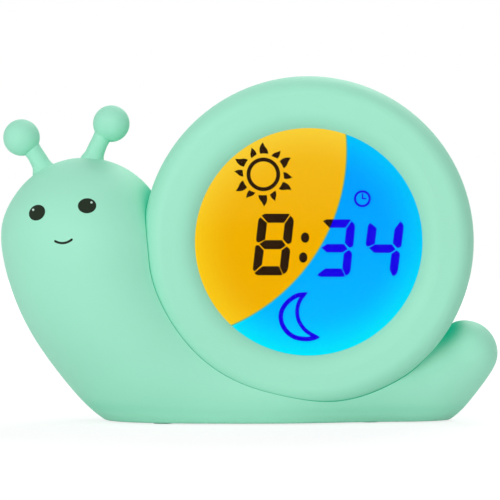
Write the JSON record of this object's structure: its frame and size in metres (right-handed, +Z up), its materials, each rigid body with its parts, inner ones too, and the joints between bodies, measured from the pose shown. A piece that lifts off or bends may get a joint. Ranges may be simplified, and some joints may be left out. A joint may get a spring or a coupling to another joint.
{
  "type": "children's alarm clock",
  "caption": "Snail-shaped children's alarm clock with a night light: a round day and night display in a soft-edged ring, rear buttons, speaker and battery bay.",
  "frame": {"origin": "centre of the bounding box's bottom face, on the surface that the clock stands on", "axes": "+X along the snail towards its tail, +Y towards the back of the clock, +Z up"},
  "size_m": [0.1846, 0.0622, 0.1275],
  "materials": {
    "mint_shell": "soft-touch matt mint ABS",
    "mint_soft": "soft matt mint elastomer",
    "mint_button": "matt mint ABS",
    "clear_window": "clear matt-fronted acrylic",
    "foam": "black foam",
    "lcd_glass": "liquid crystal display glass",
    "amber_film": "amber film",
    "blue_film": "blue film",
    "opal_plate": "opal acrylic",
    "white_plastic": "white ABS",
    "board_green": "green solder mask",
    "black_plastic": "black moulded plastic",
    "steel": "zinc-plated steel",
    "rubber_grey": "grey rubber",
    "cone_paper": "black paper",
    "cell_jacket": "plain dark cell jacket"
  },
  "bodies": {
    "housing": {"body_front": "mint_shell", "body_rear": "mint_shell", "body_screws": "steel", "foot_pads": "rubber_grey", "antenna_left": "mint_soft", "antenna_right": "mint_soft", "shell_ring": "mint_shell", "shell_rear": "mint_shell", "drum_screws": "steel", "display_window": "clear_window", "window_gasket": "foam", "lcd_panel": "lcd_glass", "day_filter": "amber_film", "night_filter": "blue_film", "diffuser_plate": "opal_plate", "light_box": "white_plastic", "backlight_leds": "white_plastic", "zebra_strip": "rubber_grey", "display_board": "board_green", "controller_parts": "black_plastic", "display_board_screws": "steel", "board_link": "black_plastic", "button_board": "board_green", "button_board_screws": "steel", "tact_switches": "black_plastic", "slide_switch": "black_plastic", "usb_shell": "steel", "usb_insert": "black_plastic", "speaker_frame": "steel", "speaker_magnet": "steel", "speaker_cone": "cone_paper", "speaker_clamp": "white_plastic", "speaker_screws": "steel", "batteries": "cell_jacket", "contact_plates": "steel", "battery_springs": "steel"},
    "clock_button": {"clock_button": "mint_button"},
    "alarm_button": {"alarm_button": "mint_button"},
    "light_button": {"light_button": "mint_button"},
    "up_button": {"up_button": "mint_button"},
    "down_button": {"down_button": "mint_button"},
    "alarm_slider": {"alarm_slider": "mint_button"},
    "battery_door": {"battery_door": "mint_shell", "battery_door_screw": "steel"}
  },
  "joints": [
    {"name": "clock_press", "type": "slide", "parent": "housing", "child": "clock_button", "axis": [0, -1, 0], "range_m": [0, 0.0008], "stiffness_N_per_m": 800},
    {"name": "alarm_press", "type": "slide", "parent": "housing", "child": "alarm_button", "axis": [0, -1, 0], "range_m": [0, 0.0008], "stiffness_N_per_m": 800},
    {"name": "light_press", "type": "slide", "parent": "housing", "child": "light_button", "axis": [0, -1, 0], "range_m": [0, 0.0008], "stiffness_N_per_m": 800},
    {"name": "up_press", "type": "slide", "parent": "housing", "child": "up_button", "axis": [0, -1, 0], "range_m": [0, 0.0008], "stiffness_N_per_m": 800},
    {"name": "down_press", "type": "slide", "parent": "housing", "child": "down_button", "axis": [0, -1, 0], "range_m": [0, 0.0008], "stiffness_N_per_m": 800},
    {"name": "alarm_slide", "type": "slide", "parent": "housing", "child": "alarm_slider", "axis": [0, 0, 1], "range_m": [0, 0.004]},
    {"name": "door_hinge", "type": "hinge", "parent": "housing", "child": "battery_door", "pos_m": [0.0214, 0.026, 0.0603], "axis": [1, 0, 0], "range_deg": [0, 75]}
  ]
}
